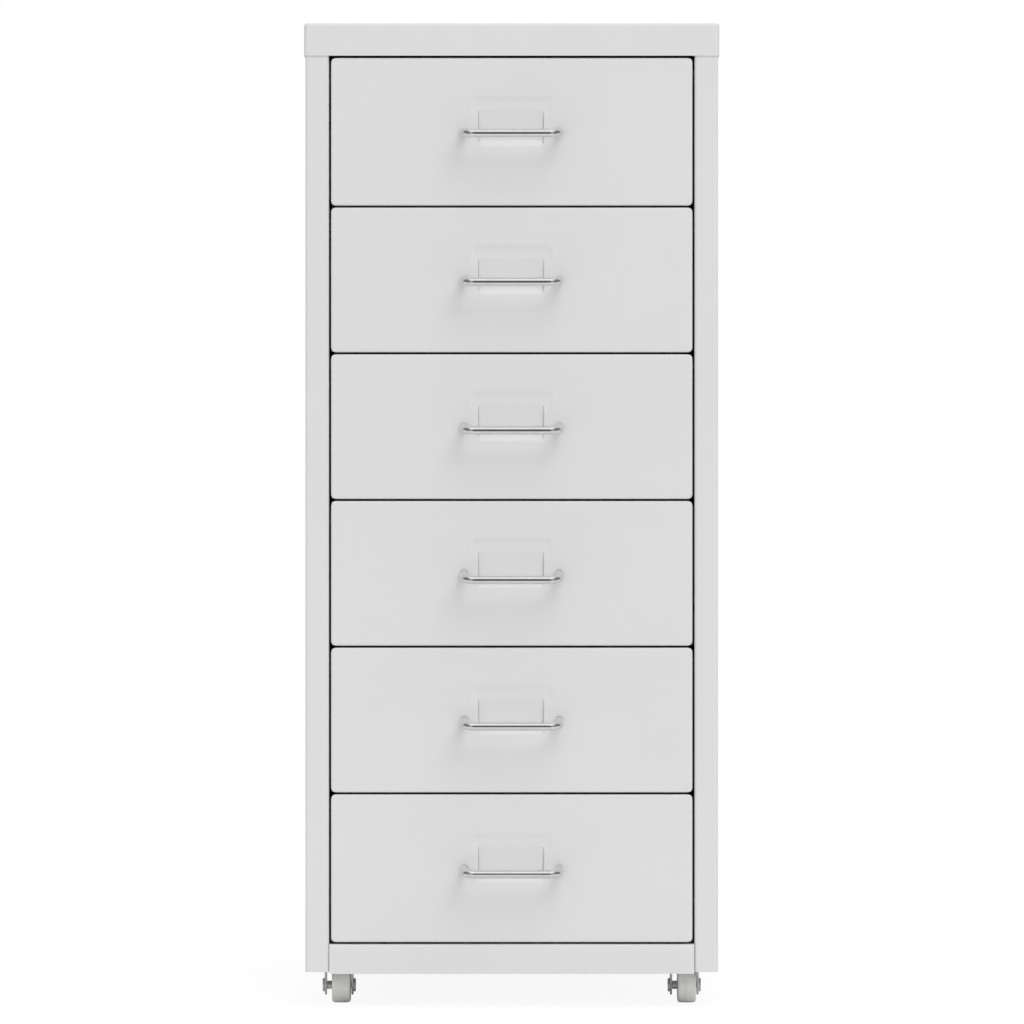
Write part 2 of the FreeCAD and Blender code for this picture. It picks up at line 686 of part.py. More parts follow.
def nut():
    """The hexagon nut on the kingpin, with its upper corners turned down."""
    corner = NUT_FLATS / 2 / math.cos(math.pi / 6)
    points = [on_circle((0, 0), corner, turn * math.pi / 3) for turn in range(6)]
    body = prism(polygon(points, "XY"), Vector(0, 0, 1), BASE_TOP, BASE_TOP + NUT_HEIGHT)
    crown_cut = corner - NUT_FLATS / 2
    turned = polygon([
        (0, BASE_TOP), (corner, BASE_TOP), (corner, BASE_TOP + NUT_HEIGHT - crown_cut),
        (NUT_FLATS / 2, BASE_TOP + NUT_HEIGHT), (0, BASE_TOP + NUT_HEIGHT),
    ], "XZ").revolve(Vector(0, 0, 0), Vector(0, 0, 1), 360)
    bore = Part.makeCylinder(STEM_THREAD / 2 + THREAD_PLAY, BASE_TOP + NUT_HEIGHT + OVERRUN)
    return body.common(turned).cut(bore)


def race_cap():
    """The upper ball cup, held between kingpin shoulder and floor."""
    shell = Part.makeCylinder(CAP_RADIUS, CASTOR_HEIGHT - CAP_RIM, Vector(0, 0, CAP_RIM))
    hollow = Part.makeCylinder(
        CAP_RADIUS - CAP_SHEET, CAP_UNDER - CAP_RIM + OVERRUN, Vector(0, 0, CAP_RIM - OVERRUN))
    bore = Part.makeCylinder(STEM_THREAD / 2 + STEM_PLAY, CASTOR_HEIGHT + OVERRUN)
    return shell.cut([hollow, bore])


def race_balls():
    """The ring of balls between the cap and the fork's crown."""
    balls = []
    for turn in range(BALLS):
        u, v = on_circle((0, 0), BALL_CIRCLE / 2, turn * 2 * math.pi / BALLS)
        balls.append(Part.makeSphere(BALL_DIAMETER / 2, Vector(u, v, BALL_LEVEL)))
    return balls


# Output

def save(name, shape):
    """Write one named piece, or one group of separate solids."""
    shape.exportStep("parts/" + name + ".step")


def save_cabinet():
    """The pieces that are fixed together."""
    left = side_panel()
    runners = [runner(index) for index in range(1, DRAWERS + 1)]
    save("top_cover", top_cover())
    save("left_side_panel", left)
    save("right_side_panel", mirrored(left))
    save("back_panel", back_panel())
    save("back_rivets", back_rivets())
    save("base_pan", base_pan())
    save("right_runners", Part.makeCompound(runners))
    save("left_runners", Part.makeCompound([mirrored(piece) for piece in runners]))


def save_castors():
    """Four castors: the fixed kingpins, nuts and races, and the turning pieces of each."""
    places = castor_places()
    fixed = {"castor_stems": [stem()], "castor_nuts": [nut()], "castor_race_caps": [race_cap()],
             "castor_balls": race_balls()}
    for name, pieces in fixed.items():
        copies = [piece.translated(place) for place in places.values() for piece in pieces]
        save(name, Part.makeCompound(copies))
    for where, place in places.items():
        inboard = 1 if place.x < 0 else -1
        turning = {"fork": fork(), "axle": axle(inboard), "spacer": spacer(), "wheel": wheel()}
        for name, piece in turning.items():
            save("castor_" + where + "_" + name, piece.translated(place))


def save_drawers():
    """Six drawers, numbered from the top."""
    for index in range(1, DRAWERS + 1):
        name = "drawer_" + str(index)
        save(name + "_front", drawer_front(index))
        save(name + "_tray", drawer_tray(index))
        save(name + "_handle", handle(index))
        save(name + "_handle_screws", handle_screws(index))


os.makedirs("parts", exist_ok=True)
save_cabinet()
save_castors()
save_drawers()
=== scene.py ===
import json
import math

import bmesh
import bpy
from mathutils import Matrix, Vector

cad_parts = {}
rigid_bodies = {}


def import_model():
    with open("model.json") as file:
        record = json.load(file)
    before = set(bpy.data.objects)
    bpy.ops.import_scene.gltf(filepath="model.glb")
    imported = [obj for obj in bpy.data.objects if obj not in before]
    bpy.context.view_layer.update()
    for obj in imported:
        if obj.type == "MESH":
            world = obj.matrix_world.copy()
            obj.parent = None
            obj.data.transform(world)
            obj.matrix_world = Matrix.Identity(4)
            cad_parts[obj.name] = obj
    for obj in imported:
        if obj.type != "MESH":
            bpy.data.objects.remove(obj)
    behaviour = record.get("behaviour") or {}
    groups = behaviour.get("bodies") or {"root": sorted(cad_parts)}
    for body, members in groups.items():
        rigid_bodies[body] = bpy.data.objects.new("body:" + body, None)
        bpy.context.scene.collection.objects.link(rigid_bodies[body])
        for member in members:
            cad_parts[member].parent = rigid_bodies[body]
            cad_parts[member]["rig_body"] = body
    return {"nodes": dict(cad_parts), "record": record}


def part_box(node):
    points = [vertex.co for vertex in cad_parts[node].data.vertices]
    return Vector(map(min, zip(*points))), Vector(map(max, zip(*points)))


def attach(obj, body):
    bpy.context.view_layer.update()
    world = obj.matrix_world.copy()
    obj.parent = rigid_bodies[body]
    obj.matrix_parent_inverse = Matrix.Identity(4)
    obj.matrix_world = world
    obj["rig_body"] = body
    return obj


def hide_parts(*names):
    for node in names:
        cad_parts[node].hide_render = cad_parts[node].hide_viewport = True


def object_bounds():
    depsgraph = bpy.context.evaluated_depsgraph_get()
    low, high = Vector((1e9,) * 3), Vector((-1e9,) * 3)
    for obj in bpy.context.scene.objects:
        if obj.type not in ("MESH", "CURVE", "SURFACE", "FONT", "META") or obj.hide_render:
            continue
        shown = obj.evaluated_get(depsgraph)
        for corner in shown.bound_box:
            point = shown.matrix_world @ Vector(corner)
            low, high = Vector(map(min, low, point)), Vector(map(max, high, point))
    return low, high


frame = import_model()
cad_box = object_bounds()

MM = 0.001
TOUCH = 1e-6
DRAWERS = range(1, 7)
CASTORS = ["front_left", "front_right", "rear_left", "rear_right"]

# Sizes that the CAD model also has, for the pieces that are remade here
SHEET = 0.8 * MM
FRONT_CORNER = 3.0 * MM
FRONT_RETURN = 12.0 * MM
WIRE_RADIUS = 2.75 * MM
HANDLE_CENTRES = 64.0 * MM
HANDLE_PROJECTION = 25.0 * MM
HANDLE_BEND = 7.5 * MM

# The fronts' edge roll, and how far each handle hangs down, closer to the photograph than in the CAD model
ROLL = 1.2 * MM
HANDLE_DROPS = (2.6 * MM, 2.3 * MM, 2.9 * MM, 4.2 * MM, 3.4 * MM, 2.5 * MM)

# Label pocket, measured from the middle of a front: a shallow wide head, a dished floor and two slits
POCKET_SHIFT = -0.45 * MM
POCKET_HALF = 22.0 * MM
POCKET_TOP = 24.8 * MM
POCKET_FALL = 6.2 * MM
POCKET_BOTTOM = -10.2 * MM
POCKET_RISE = 4.6 * MM
HEAD_HALF = 28.8 * MM
HEAD_BOTTOM = 8.5 * MM
HEAD_FADE = 9.0 * MM
HEAD_SOFT = 5.0 * MM
HEAD_DEPTH = 0.7 * MM
FLOOR_DISH = 1.2 * MM
DISH_TOP = 14.5 * MM
SLIT_TOP = 13.7 * MM
SLIT_BOTTOM = -7.2 * MM
SLIT_FADE = 4.0 * MM
SLIT_SPREAD = 11.0 * MM
SLIT_OPEN = 0.15 * MM
SLIT_EDGE = 0.3 * MM

# Slight waves of the pressed fronts: height, room to the edge, radians per metre across and up, and the
# step in radians from one front to the next
WAVE_HEIGHT = 0.03 * MM
WAVE_EDGE = 20.0 * MM
LONG_WAVE = (31, 17)
CROSS_WAVE = (13, -41)
WAVE_SHIFT = 1.7

# Colours, linear
PAINT = (0.708, 0.708, 0.706)
TRAY_PAINT = (0.70, 0.70, 0.69)
CHROME = (0.72, 0.72, 0.73)
ZINC = (0.78, 0.78, 0.77)
PIN_STEEL = (0.76, 0.76, 0.76)
GALVANISED = (0.58, 0.59, 0.60)
BALL_STEEL = (0.62, 0.62, 0.63)
ALUMINIUM = (0.70, 0.70, 0.71)
NYLON = (0.92, 0.92, 0.89)

# Heights of the finest relief
PEEL = 0.00003
DRAWN_LINES = 0.000004
PLATING_GRAIN = 0.00001
RUNNER_LINES = 0.000006
MOULD_GRAIN = 0.00001

# The part of a noise's range that most of it lies in
NOISE_LOW = 0.3
NOISE_HIGH = 0.7


# Materials

class Surface:
    """A procedural material built round one Principled shader, textured in the piece's own metres."""

    def __init__(self, name):
        self.material = bpy.data.materials.new(name)
        self.material.use_nodes = True
        self.tree = self.material.node_tree
        self.shader = self.tree.nodes["Principled BSDF"]
        self.place = self.add("ShaderNodeTexCoord").outputs["Object"]

    def add(self, kind, values=None, **settings):
        """A node with its settings and with its input values or links."""
        made = self.tree.nodes.new(kind)
        for key, value in settings.items():
            setattr(made, key, value)
        for key, value in (values or {}).items():
            if isinstance(value, bpy.types.NodeSocket):
                self.tree.links.new(value, made.inputs[key])
            else:
                made.inputs[key].default_value = value
        return made

    def noise(self, scale, detail=2.0, stretch=(1, 1, 1)):
        """Noise with a pitch in metres of 1 / scale, stretched along the axes."""
        spread = self.add("ShaderNodeMapping", {"Vector": self.place, "Scale": stretch})
        made = self.add("ShaderNodeTexNoise", {
            "Vector": spread.outputs["Vector"], "Scale": scale, "Detail": detail})
        return made.outputs["Fac"]

    def cells(self, scale):
        """Crystal cells, each with its own grey."""
        made = self.add("ShaderNodeTexVoronoi", {"Vector": self.place, "Scale": scale})
        grey = self.add("ShaderNodeRGBToBW", {"Color": made.outputs["Color"]})
        return grey.outputs["Val"]

    def between(self, source, low, high):
        """The usual range of a noise brought to the range from low to high."""
        made = self.add("ShaderNodeMapRange", {
            "Value": source, "From Min": NOISE_LOW, "From Max": NOISE_HIGH,
            "To Min": low, "To Max": high})
        return made.outputs["Result"]

    def colour(self, base, source, low, high):
        """The base colour, made darker or lighter by a source."""
        grey = self.between(source, low, high)
        made = self.add("ShaderNodeMix", {"Factor": 1.0}, data_type="RGBA", blend_type="MULTIPLY")
        made.inputs[6].default_value = (*base, 1)
        self.tree.links.new(grey, made.inputs[7])
        self.tree.links.new(made.outputs[2], self.shader.inputs["Base Color"])

    def rough(self, source, low, high):
        """Roughness that follows a source."""
        self.tree.links.new(self.between(source, low, high), self.shader.inputs["Roughness"])

    def bump(self, layers):
        """Bump from several sources, each with its height in metres."""
        normal = None
        for source, height in layers:
            values = {"Height": source, "Distance": height, "Strength": 1.0}
            if normal is not None:
                values["Normal"] = normal
            normal = self.add("ShaderNodeBump", values).outputs["Normal"]
        self.tree.links.new(normal, self.shader.inputs["Normal"])

    def sockets(self, **values):
        """Plain values on the shader's own sockets."""
        for name, value in values.items():
            self.shader.inputs[name.replace("_", " ")].default_value = value


def powder_coat(name, base):
    """Satin powder coat: fine orange peel over a slightly uneven sheet."""
    surface = Surface(name)
    cloud = surface.noise(scale=9.0, detail=3.0)
    grain = surface.noise(scale=750.0, detail=2.0)
    surface.colour(base, cloud, low=0.99, high=1.01)
    surface.rough(grain, low=0.36, high=0.46)
    peel = surface.noise(scale=420.0, detail=1.0)
    surface.bump([(peel, PEEL), (grain, PEEL / 3)])
    surface.sockets(Metallic=0.0, IOR=1.5)
    return surface.material


def chrome_plate():
    """Bright plating on drawn wire, with faint lines along the wire and some haze."""
    surface = Surface("chrome_plate")
    haze = surface.noise(scale=160.0, detail=3.0)
    lines = surface.noise(scale=900.0, detail=2.0, stretch=(0.06, 1, 1))
    surface.colour(CHROME, haze, low=0.95, high=1.03)
    surface.rough(lines, low=0.09, high=0.17)
    surface.bump([(lines, DRAWN_LINES)])
    surface.sockets(Metallic=1.0)
    return surface.material


def zinc_plate(name, base, low, high):
    """Dull zinc plating: cloudy colour and uneven gloss."""
    surface = Surface(name)
    cloud = surface.noise(scale=260.0, detail=4.0)
    grain = surface.noise(scale=2600.0, detail=2.0)
    surface.colour(base, cloud, low=0.82, high=1.12)
    surface.rough(cloud, low, high)
    surface.bump([(grain, PLATING_GRAIN)])
    surface.sockets(Metallic=1.0)
    return surface.material


def galvanised_sheet():
    """Hot dipped sheet with small spangles, polished lengthwise where the rims run."""
    surface = Surface("galvanised_sheet")
    spangle = surface.cells(scale=170.0)
    lines = surface.noise(scale=1500.0, detail=2.0, stretch=(1, 0.02, 1))
    surface.colour(GALVANISED, spangle, low=0.88, high=1.08)
    surface.rough(lines, low=0.26, high=0.42)
    surface.bump([(lines, RUNNER_LINES)])
    surface.sockets(Metallic=1.0)
    return surface.material


def moulded_nylon():
    """Grey moulded plastic with a fine matt texture and a slightly uneven tone."""
    surface = Surface("moulded_nylon")
    cloud = surface.noise(scale=240.0, detail=3.0)
    grain = surface.noise(scale=2400.0, detail=2.0)
    surface.colour(NYLON, cloud, low=0.95, high=1.04)
    surface.rough(grain, low=0.42, high=0.58)
    surface.bump([(grain, MOULD_GRAIN)])
    surface.sockets(Metallic=0.0, IOR=1.52)
    return surface.material


def ball_polish():
    """Polished bearing steel with a trace of grease haze."""
    surface = Surface("ball_polish")
    haze = surface.noise(scale=900.0, detail=2.0)
    surface.colour(BALL_STEEL, haze, low=0.92, high=1.04)
    surface.rough(haze, low=0.08, high=0.2)
    surface.sockets(Metallic=1.0)
    return surface.material


materials = {
    "cover_paint": powder_coat("cover_paint", PAINT),
    "body_paint": powder_coat("body_paint", PAINT),
    "front_paint": powder_coat("front_paint", PAINT),
    "tray_paint": powder_coat("tray_paint", TRAY_PAINT),
    "handle_chrome": chrome_plate(),
    "screw_steel": zinc_plate("screw_steel", PIN_STEEL, low=0.22, high=0.4),
    "runner_zinc": galvanised_sheet(),
    "castor_zinc": zinc_plate("castor_zinc", ZINC, low=0.4, high=0.6),
    "axle_steel": zinc_plate("axle_steel", PIN_STEEL, low=0.36, high=0.55),
    "ball_steel": ball_polish(),
    "wheel_plastic": moulded_nylon(),
    "rivet_aluminium": zinc_plate("rivet_aluminium", ALUMINIUM, low=0.3, high=0.42),
}
slot_of = {row["node"]: row["material_slot"] for row in frame["record"]["subparts"]}


def dress_nodes():
    """Every carried-over CAD node gets the material of its slot."""
    for name, piece in frame["nodes"].items():
        piece.data.materials.clear()
        piece.data.materials.append(materials[slot_of[name]])


# Mesh helpers

def finish_piece(name, mesh, node):
    """A made mesh becomes a smooth piece that stands for one CAD node and rides on its body."""
    data = bpy.data.meshes.new(name)
    mesh.to_mesh(data)
    mesh.free()
    for face in data.polygons:
        face.use_smooth = True
    data.materials.append(materials[slot_of[node]])
    piece = bpy.data.objects.new(name, data)
    bpy.context.scene.collection.objects.link(piece)
    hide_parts(node)
    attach(piece, frame["nodes"][node]["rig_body"])
    return piece


def ease(value):
    """A smooth step from 0 to 1."""
    value = min(max(value, 0.0), 1.0)
    return value * value * (3 - 2 * value)


def steps(start, end, pitch):
    """Evenly spaced values from start up to, but without, end."""
    count = max(1, round(abs(end - start) / pitch))
    return [start + (end - start) * index / count for index in range(count)]


# Drawer fronts

ROLL_STEPS = 6
PLAIN_PITCH = 6.0 * MM
CALM_PITCH = 3.0 * MM
FINE_PITCH = 0.5 * MM
POCKET_MARGIN = 1.5 * MM
SLIT_MARGIN = 4.0 * MM
RETURN_EASE = 0.3 * MM
CRISP_ANGLE = math.radians(50)


def head_depth(x, z):
    """The shallow upper zone of the pocket, with wide soft slopes all round."""
    top = ease((POCKET_TOP - z) / HEAD_SOFT)
    bottom = ease((z - HEAD_BOTTOM) / HEAD_FADE)
    side = ease((HEAD_HALF - abs(x)) / HEAD_SOFT)
    return HEAD_DEPTH * top * bottom * side


def floor_depth(z):
    """The pocket's floor between the slits: dished at the top, then level, with a steep slope below."""
    top = ease((POCKET_TOP - z) / POCKET_FALL)
    dish_bottom = POCKET_BOTTOM + POCKET_RISE
    left = min(max((z - dish_bottom) / (DISH_TOP - dish_bottom), 0.0), 1.0)
    bottom = ease((z - POCKET_BOTTOM) / POCKET_RISE)
    return (HEAD_DEPTH + FLOOR_DISH * (1 - left * left)) * top * bottom


def pocket_depth(x, z):
    """How far the sheet is pressed in at a place of the front."""
    above = ease((z - SLIT_TOP) / SLIT_FADE)
    below = ease((SLIT_BOTTOM - z) / SLIT_FADE)
    soft = SLIT_EDGE + max(SLIT_SPREAD * above, SLIT_FADE * below)
    side = ease((POCKET_HALF - abs(x)) / soft)
    head = head_depth(x, z)
    return head + max(floor_depth(z) - head, 0.0) * side


def edge_lines(low, high):
    """Grid lines across one rolled edge on each side, from low to high."""
    rolled = [ROLL * (1 - math.cos(math.pi / 2 * step / ROLL_STEPS)) for step in range(ROLL_STEPS + 1)]
    rolled.append(FRONT_CORNER)
    return [low + d for d in rolled], [high - d for d in reversed(rolled)]


def grid_lines(low, high, zones):
    """Grid lines between two rolled edges, with a pitch of its own from each zone's start."""
    first, last = edge_lines(low, high)
    starts = [(first[-1], PLAIN_PITCH)] + zones
    ends = [start for start, pitch in zones] + [last[0]]
    lines = first[:-1]
    for (start, pitch), end in zip(starts, ends):
        lines += steps(start, end, pitch)
    return lines + last


def column_lines(half):
    """The grid's x values, finest about the slits."""
    return grid_lines(-half, half, [
        (POCKET_SHIFT - HEAD_HALF - POCKET_MARGIN, FINE_PITCH),
        (POCKET_SHIFT - POCKET_HALF, FINE_PITCH),
        (POCKET_SHIFT - POCKET_HALF + SLIT_MARGIN, CALM_PITCH),
        (POCKET_SHIFT + POCKET_HALF - SLIT_MARGIN, FINE_PITCH),
        (POCKET_SHIFT + POCKET_HALF, FINE_PITCH),
        (POCKET_SHIFT + HEAD_HALF + POCKET_MARGIN, PLAIN_PITCH),
    ])


def row_lines(low, high, level):
    """The grid's z values, finest about the pocket."""
    return grid_lines(low, high, [
        (level + POCKET_BOTTOM - POCKET_MARGIN, FINE_PITCH),
        (level + SLIT_BOTTOM, FINE_PITCH),
        (level + SLIT_TOP, FINE_PITCH),
        (level + POCKET_TOP + POCKET_MARGIN, PLAIN_PITCH),
    ])


def sheet_waves(x, z, index):
    """The slight unevenness of a large thin pressed face."""
    turn = index * WAVE_SHIFT
    along = math.sin(x * LONG_WAVE[0] + z * LONG_WAVE[1] + turn)
    across = math.sin(x * CROSS_WAVE[0] + z * CROSS_WAVE[1] + 2 * turn)
    return WAVE_HEIGHT * (along + across)


def front_point(x, z, box, index, pressed):
    """The place of one grid point of a front: rolled edge, round corner, waves and pocket."""
    low, high = box
    level = (low.z + high.z) / 2
    middle = (low.x + high.x) / 2
    gap_x = min(x - low.x, high.x - x)
    gap_z = min(z - low.z, high.z - z)
    gap = min(gap_x, gap_z)
    if gap_x < FRONT_CORNER and gap_z < FRONT_CORNER:
        across = FRONT_CORNER - gap_x
        up = FRONT_CORNER - gap_z
        pull = 1 - max(across, up) / max(math.hypot(across, up), TOUCH)
        x -= math.copysign(across * pull, x - middle)
        z -= math.copysign(up * pull, z - level)
    rest = max(ROLL - gap, 0.0)
    depth = ROLL - math.sqrt(max(ROLL * ROLL - rest * rest, 0.0))
    depth += sheet_waves(x, z, index) * ease(gap / WAVE_EDGE)
    return Vector((x, low.y + depth + pressed, z))


def front_mesh(index, box):
    """The outer skin of a front: a fine grid with the pocket pressed in and both slits open."""
    low, high = box
    level = (low.z + high.z) / 2
    columns = column_lines(high.x)
    rows = row_lines(low.z, high.z, level)
    mesh = bmesh.new()
    face_side = {}
    floor_side = {}
    for i, x in enumerate(columns):
        across = x - POCKET_SHIFT
        on_slit = abs(abs(across) - POCKET_HALF) < TOUCH
        for j, z in enumerate(rows):
            height = z - level
            if on_slit and SLIT_BOTTOM + TOUCH < height < SLIT_TOP - TOUCH:
                outward = x + math.copysign(SLIT_OPEN, across)
                lip = head_depth(across, height)
                face_side[i, j] = mesh.verts.new(front_point(outward, z, box, index, lip))
                floor_side[i, j] = mesh.verts.new(front_point(x, z, box, index, floor_depth(height)))
            else:
                pressed = pocket_depth(across, height)
                face_side[i, j] = mesh.verts.new(front_point(x, z, box, index, pressed))
                floor_side[i, j] = face_side[i, j]
    for i in range(len(columns) - 1):
        middle = (columns[i] + columns[i + 1]) / 2 - POCKET_SHIFT
        side = floor_side if abs(middle) < POCKET_HALF else face_side
        for j in range(len(rows) - 1):
            mesh.faces.new([side[i, j], side[i + 1, j], side[i + 1, j + 1], side[i, j + 1]])
    return mesh


def fold_back(mesh, box):
    """The four returns: the rolled edge runs on to the back."""
    low = box[0]
    rim = [edge for edge in mesh.edges if edge.is_boundary
           and all(abs(vertex.co.y - low.y - ROLL) < TOUCH for vertex in edge.verts)]
    for depth in (ROLL + RETURN_EASE, FRONT_RETURN - RETURN_EASE, FRONT_RETURN):
        made = bmesh.ops.extrude_edge_only(mesh, edges=rim)["geom"]
        for vertex in made:
            if isinstance(vertex, bmesh.types.BMVert):
                vertex.co.y = low.y + depth
        rim = [edge for edge in made if isinstance(edge, bmesh.types.BMEdge) and edge.is_boundary
               and all(abs(vertex.co.y - low.y - depth) < TOUCH for vertex in edge.verts)]


def add_thickness(piece, thickness):
    """Sheet thickness to the inside of a skin, with crisp cut edges."""
    solid = piece.modifiers.new("sheet", "SOLIDIFY")
    solid.thickness = thickness
    solid.offset = -1.0
    solid.use_even_offset = True
    split = piece.modifiers.new("crisp", "EDGE_SPLIT")
    split.split_angle = CRISP_ANGLE


def make_front(index):
    """One drawer front."""
    node = "drawer_%d_front" % index
    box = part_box(node)
    mesh = front_mesh(index, box)
    fold_back(mesh, box)
    add_thickness(finish_piece("drawer_%d_pressed_front" % index, mesh, node), SHEET)


# Handles

WIRE_SIDES = 40
BEND_STEPS = 14
LEG_SINK = 0.1 * MM
LEG_RUN = 3.0 * MM
WIRE_PITCH = 6.0 * MM


def handle_route(level, face, drop):
    """The wire's middle line, with its two bends, in a plane that leans down a little."""
    half = HANDLE_CENTRES / 2
    lean = math.atan2(drop, HANDLE_PROJECTION)
    reach = math.hypot(drop, HANDLE_PROJECTION)
    flat = [(-half, LEG_SINK), (-half, -LEG_RUN)]
    for step in range(BEND_STEPS + 1):
        turn = math.pi / 2 * step / BEND_STEPS
        flat.append((
            -half + HANDLE_BEND * (1 - math.cos(turn)),
            HANDLE_BEND * (1 - math.sin(turn)) - reach))
    flat += [(x, -reach) for x in steps(HANDLE_BEND - half, 0.0, WIRE_PITCH)[1:]]
    flat += [(0.0, -reach)]
    flat += [(-x, y) for x, y in reversed(flat[:-1])]
    return [Vector((x, face + y * math.cos(lean), level + y * math.sin(lean))) for x, y in flat]


def tube(mesh, route, radius, sides):
    """A round tube along a route that lies in one plane, closed at both ends."""
    plane = (route[1] - route[0]).cross(route[len(route) // 2] - route[0]).normalized()
    rings = []
    for index, point in enumerate(route):
        ahead = route[min(index + 1, len(route) - 1)]
        behind = route[max(index - 1, 0)]
        along = (ahead - behind).normalized()
        side = plane.cross(along)
        ring = []
        for step in range(sides):
            turn = 2 * math.pi * step / sides
            ring.append(mesh.verts.new(point + (side * math.cos(turn) + plane * math.sin(turn)) * radius))
        rings.append(ring)
    for first, second in zip(rings, rings[1:]):
        for step in range(sides):
            follow = (step + 1) % sides
            mesh.faces.new([first[step], first[follow], second[follow], second[step]])
    mesh.faces.new(rings[0])
    mesh.faces.new(rings[-1])


def make_handle(index):
    """One bent wire handle."""
    low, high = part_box("drawer_%d_front" % index)
    mesh = bmesh.new()
    route = handle_route((low.z + high.z) / 2, low.y, HANDLE_DROPS[index - 1])
    tube(mesh, route, WIRE_RADIUS, WIRE_SIDES)
    bmesh.ops.recalc_face_normals(mesh, faces=mesh.faces)
    finish_piece("drawer_%d_wire_handle" % index, mesh, "drawer_%d_handle" % index)


# Castor wheels

WHEEL_SIDES = 96
WHEEL_CORNER = 1.8 * MM
WHEEL_BORE = 2.05 * MM
WHEEL_HUB = 5.0 * MM
WHEEL_RIM = 2.6 * MM
WHEEL_RECESS = 1.6 * MM
TREAD_CROWN = 0.12 * MM
TREAD_SHOULDER = 0.45
SHOULDER_DROP = 0.3 * TREAD_CROWN
SEAM = 0.04 * MM
WHEEL_EASING = 0.35 * MM
HUB_DRAFT = 0.2 * MM
RIM_DRAFT = 0.1 * MM
CORNER_STEPS = 6


def wheel_profile(half, radius):
    """The wheel's half section from one side's bore to the other's: width, then radius."""
    rim = radius - WHEEL_RIM
    floor = half - WHEEL_RECESS
    easing = WHEEL_EASING
    hub_foot = WHEEL_HUB + HUB_DRAFT
    rim_foot = rim + RIM_DRAFT
    side = [
        (half - easing, WHEEL_BORE), (half, WHEEL_BORE + easing), (half, WHEEL_HUB - easing),
        (half - easing, WHEEL_HUB), (floor + easing, hub_foot),
        (floor, hub_foot + easing), (floor, rim - easing), (floor + easing, rim),
        (half - easing, rim_foot), (half, rim_foot + easing),
    ]
    corner = []
    for step in range(CORNER_STEPS + 1):
        turn = math.pi / 2 * step / CORNER_STEPS
        corner.append((
            half - WHEEL_CORNER * (1 - math.cos(turn)),
            radius - TREAD_CROWN - WHEEL_CORNER * (1 - math.sin(turn))))
    tread = [
        (half * TREAD_SHOULDER, radius - SHOULDER_DROP), (SEAM * 2, radius - SEAM / 2), (SEAM, radius)]
    right = side + corner + tread
    return right + [(-u, v) for u, v in reversed(right)]


def make_wheel(where):
    """One castor wheel, spun from its profile about its own axle."""
    node = "castor_" + where + "_wheel"
    low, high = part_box(node)
    centre = (low + high) / 2
    profile = wheel_profile((high.x - low.x) / 2, (high.z - low.z) / 2)
    mesh = bmesh.new()
    rings = []
    for u, v in profile:
        ring = []
        for step in range(WHEEL_SIDES):
            turn = 2 * math.pi * step / WHEEL_SIDES
            ring.append(mesh.verts.new(centre + Vector((u, v * math.sin(turn), v * math.cos(turn)))))
        rings.append(ring)
    for first, second in zip(rings, rings[1:] + rings[:1]):
        for step in range(WHEEL_SIDES):
            follow = (step + 1) % WHEEL_SIDES
            mesh.faces.new([first[step], first[follow], second[follow], second[step]])
    bmesh.ops.recalc_face_normals(mesh, faces=mesh.faces)
    finish_piece("castor_" + where + "_tyre", mesh, node)


# Edges of the carried-over pieces

FORK_EDGE = 0.2 * MM
AXLE_EDGE = 0.3 * MM
EDGE_STEPS = 3
SHARP_ANGLE = math.radians(40)

def soften_edges(name, width):
    """Small rounds on a CAD node's sharp edges, so that they catch the light."""
    piece = frame["nodes"][name]
    weld = piece.modifiers.new("weld", "WELD")
    weld.merge_threshold = TOUCH
    round_off = piece.modifiers.new("rounds", "BEVEL")
    round_off.width = width
    round_off.segments = EDGE_STEPS
    round_off.limit_method = "ANGLE"
    round_off.angle_limit = SHARP_ANGLE


# Stage, light and camera

SENSOR = 36.0
CAMERA_DISTANCE = 3.9
VIEW_WIDTH = 0.6901
VIEW_CENTRE_X = 0.00017
VIEW_CENTRE_Z = 0.3341
FLOOR_REACH = 12.0
FLOOR_FRONT = -0.8
FLOOR_GREY = 0.85
FLOOR_WHITE = 1.045
FLOOR_LIFT = 0.88
GROUND = 0.72
SKY_LOW = 0.42
SKY_HIGH = 1.0
GLOSS_BRIGHT = 1.2
GLOSS_DARK = 0.12
TOP_START = 0.90
TOP_REST = 0.65
DARK_START = 0.74
DARK_END = 0.94
SIDE_START = 0.35
SIDE_END = 0.75
SIDE_REST = 0.08
KEY_SIZE = 4.6
KEY_POWER = 190.0
KEY_PLACE = (2.4, -5.12, 5.66)
FILL_SIZE = (4.0, 0.6)
FILL_POWER = 42.0
FILL_DISTANCE = 5.5


class Nodes:
    """A shader tree that starts empty, with short calls to add and link nodes."""

    def __init__(self, tree):
        self.tree = tree
        tree.nodes.clear()

    def add(self, kind, values=(), **settings):
        """A node with its settings, and with its inputs set or linked in order."""
        made = self.tree.nodes.new(kind)
        for key, value in settings.items():
            setattr(made, key, value)
        for socket, value in zip(made.inputs, values):
            if isinstance(value, bpy.types.NodeSocket):
                self.tree.links.new(value, socket)
            elif value is not None:
                socket.default_value = value
        return made

    def maths(self, operation, first, second):
        """One sum on two values, kept between 0 and 1."""
        made = self.add("ShaderNodeMath", (first, second), operation=operation, use_clamp=True)
        return made.outputs[0]


